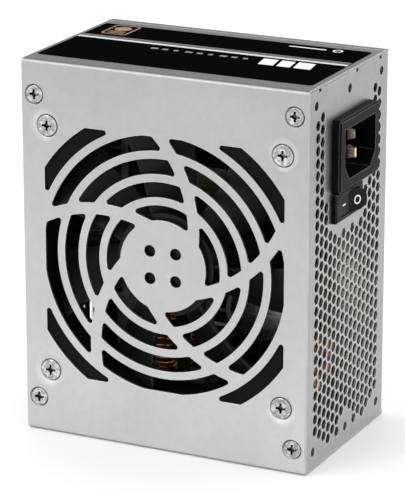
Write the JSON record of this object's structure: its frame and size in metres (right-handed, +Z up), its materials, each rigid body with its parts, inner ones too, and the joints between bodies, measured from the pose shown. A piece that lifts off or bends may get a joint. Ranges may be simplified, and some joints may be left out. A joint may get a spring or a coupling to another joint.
{
  "type": "power supply unit",
  "caption": "Box-shaped steel computer power supply with a round grille over its fan, a mains inlet, a rocker switch and a honeycomb vent.",
  "frame": {"origin": "middle of the bottom side, in its plane", "axes": "+Z up along the long side towards the label, +X out of the rear panel with the mains inlet, -Y out of the fan face"},
  "size_m": [0.1063, 0.0636, 0.1251],
  "materials": {
    "case_steel": "satin",
    "label_print": "satin",
    "screw_steel": "polished",
    "fan_frame_plastic": "matte",
    "fan_blade_plastic": "gloss",
    "magnet": "matte",
    "shaft_steel": "polished",
    "bronze": "satin",
    "core_steel": "satin",
    "copper": "satin",
    "choke_copper": "satin",
    "circuit_board": "satin",
    "inlet_plastic": "satin",
    "pin_brass": "satin",
    "switch_plastic": "satin",
    "rocker_plastic": "satin",
    "terminal_brass": "satin",
    "standoff_brass": "satin",
    "film": "satin",
    "ferrite": "matte",
    "tape": "satin",
    "line_core": "satin",
    "powder_core": "matte",
    "capacitor_sleeve": "gloss",
    "capacitor_sleeve_small": "gloss",
    "capacitor_box": "satin",
    "disc_blue": "gloss",
    "disc_dark": "gloss",
    "heatsink_aluminium": "satin",
    "package_epoxy": "matte",
    "fuse_glass": "gloss",
    "lead_black": "satin",
    "lead_green": "satin",
    "connector_nylon": "satin",
    "grommet_rubber": "matte"
  },
  "bodies": {
    "case": {"base_shell": "case_steel", "board_screws": "screw_steel", "board_standoffs": "standoff_brass", "bridge_rectifier": "package_epoxy", "bulk_capacitor": "capacitor_sleeve", "cable_grommet": "grommet_rubber", "case_screws": "screw_steel", "cover": "case_steel", "earth_lead": "lead_green", "fan_bearing": "bronze", "fan_board": "circuit_board", "fan_connector": "connector_nylon", "fan_frame": "fan_frame_plastic", "fan_lead": "lead_black", "fan_screws": "screw_steel", "fan_stator_core": "core_steel", "fan_windings": "copper", "fuse": "fuse_glass", "fuse_clips": "terminal_brass", "inlet_housing": "inlet_plastic", "inlet_pin_earth": "pin_brass", "inlet_pin_line": "pin_brass", "inlet_pin_neutral": "pin_brass", "insulation_sheet": "film", "label_sticker": "label_print", "line_choke_core": "line_core", "line_choke_winding": "choke_copper", "line_lead": "lead_black", "main_board": "circuit_board", "main_transformer_core": "ferrite", "main_transformer_winding": "tape", "neutral_lead": "lead_black", "optocouplers": "package_epoxy", "output_capacitor_1": "capacitor_sleeve_small", "output_capacitor_2": "capacitor_sleeve_small", "output_capacitor_3": "capacitor_sleeve_small", "output_capacitor_4": "capacitor_sleeve_small", "output_choke_core": "powder_core", "output_choke_winding": "choke_copper", "output_rectifiers": "package_epoxy", "power_transistors": "package_epoxy", "primary_heatsink": "heatsink_aluminium", "secondary_heatsink": "heatsink_aluminium", "standby_transformer_core": "ferrite", "standby_transformer_winding": "tape", "supervisor_board": "circuit_board", "supervisor_chip": "package_epoxy", "switch_housing": "switch_plastic", "switch_terminals": "terminal_brass", "switched_lead": "lead_black", "thermistor": "disc_dark", "varistor": "disc_blue", "x_capacitor_1": "capacitor_box", "x_capacitor_2": "capacitor_box", "y_capacitors": "disc_blue"},
    "fan": {"fan_rotor": "fan_blade_plastic", "fan_magnet_ring": "magnet", "fan_shaft": "shaft_steel"},
    "rocker": {"rocker": "rocker_plastic"}
  },
  "joints": [
    {"name": "fan_spin", "type": "hinge", "parent": "case", "child": "fan", "pos_m": [0, -0.02425, 0.0625], "axis": [0, -1, 0], "continuous": true},
    {"name": "rocker_tilt", "type": "hinge", "parent": "case", "child": "rocker", "pos_m": [0.05, -0.0033, 0.083], "axis": [0, 0, 1], "range_deg": [0, 20]}
  ]
}
